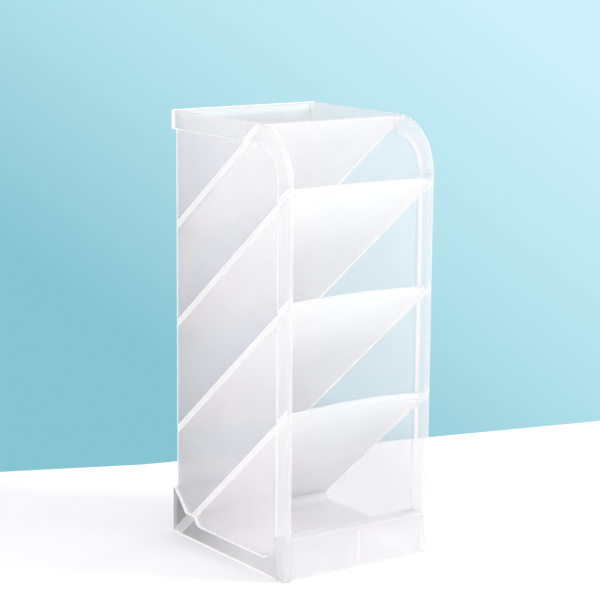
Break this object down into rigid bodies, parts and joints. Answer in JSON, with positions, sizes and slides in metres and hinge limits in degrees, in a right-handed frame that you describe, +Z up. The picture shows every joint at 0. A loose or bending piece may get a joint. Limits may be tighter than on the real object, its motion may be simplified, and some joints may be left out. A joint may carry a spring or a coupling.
{
  "type": "desk organizer",
  "caption": "Upright frosted plastic pen organizer: two arched side walls, a back wall and sloping dividers that make open-fronted slanted slots over a hollow base.",
  "frame": {"origin": "centre of the base's bounding box on the table", "axes": "+X across the width, -Y out of the open front, +Z up"},
  "size_m": [0.08, 0.095, 0.203],
  "materials": {
    "frosted_pp": "satin, translucent"
  },
  "bodies": {
    "root": {"left_wall_panel": "frosted_pp", "right_wall_panel": "frosted_pp", "back_wall": "frosted_pp", "left_front_post": "frosted_pp", "right_front_post": "frosted_pp", "left_arch_rail": "frosted_pp", "right_arch_rail": "frosted_pp", "left_top_rail": "frosted_pp", "right_top_rail": "frosted_pp", "back_top_rail": "frosted_pp", "left_base_skirt": "frosted_pp", "right_base_skirt": "frosted_pp", "back_base_skirt": "frosted_pp", "front_base_skirt": "frosted_pp", "front_lip": "frosted_pp", "floor_front_curve": "frosted_pp", "compartment_floor": "frosted_pp", "divider_foot": "frosted_pp", "rear_floor": "frosted_pp", "lower_divider": "frosted_pp", "middle_divider": "frosted_pp", "upper_divider": "frosted_pp", "top_divider": "frosted_pp", "left_heel_rib": "frosted_pp", "right_heel_rib": "frosted_pp", "front_gusset": "frosted_pp"}
  },
  "joints": []
}
